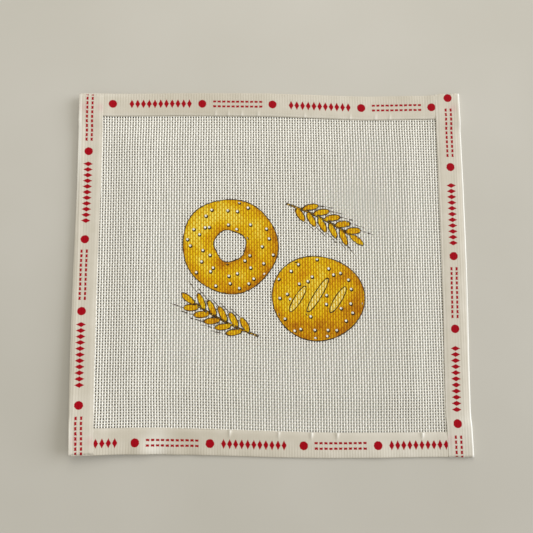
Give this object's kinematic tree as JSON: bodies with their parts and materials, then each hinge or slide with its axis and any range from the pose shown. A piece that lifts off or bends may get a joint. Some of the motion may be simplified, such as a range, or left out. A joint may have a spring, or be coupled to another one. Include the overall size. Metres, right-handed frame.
{
  "type": "needlepoint canvas",
  "caption": "Square open-mesh needlework canvas with a painted bakery motif to stitch over, its four cut edges bound in folded printed cloth tape.",
  "frame": {"origin": "under the middle of the piece, on the surface that it lies on", "axes": "+Z out of the painted face, +X to the right side of the picture, +Y to its top"},
  "size_m": [0.2074, 0.1932, 0.0073],
  "materials": {
    "canvas": "starched off-white cotton mesh with a painted bakery motif on the threads",
    "tape": "matt cream adhesive cloth tape with a repeating dark red print"
  },
  "bodies": {
    "root": {"canvas": "canvas", "tape_top": "tape", "tape_right": "tape", "tape_bottom": "tape", "tape_left": "tape"}
  },
  "joints": []
}
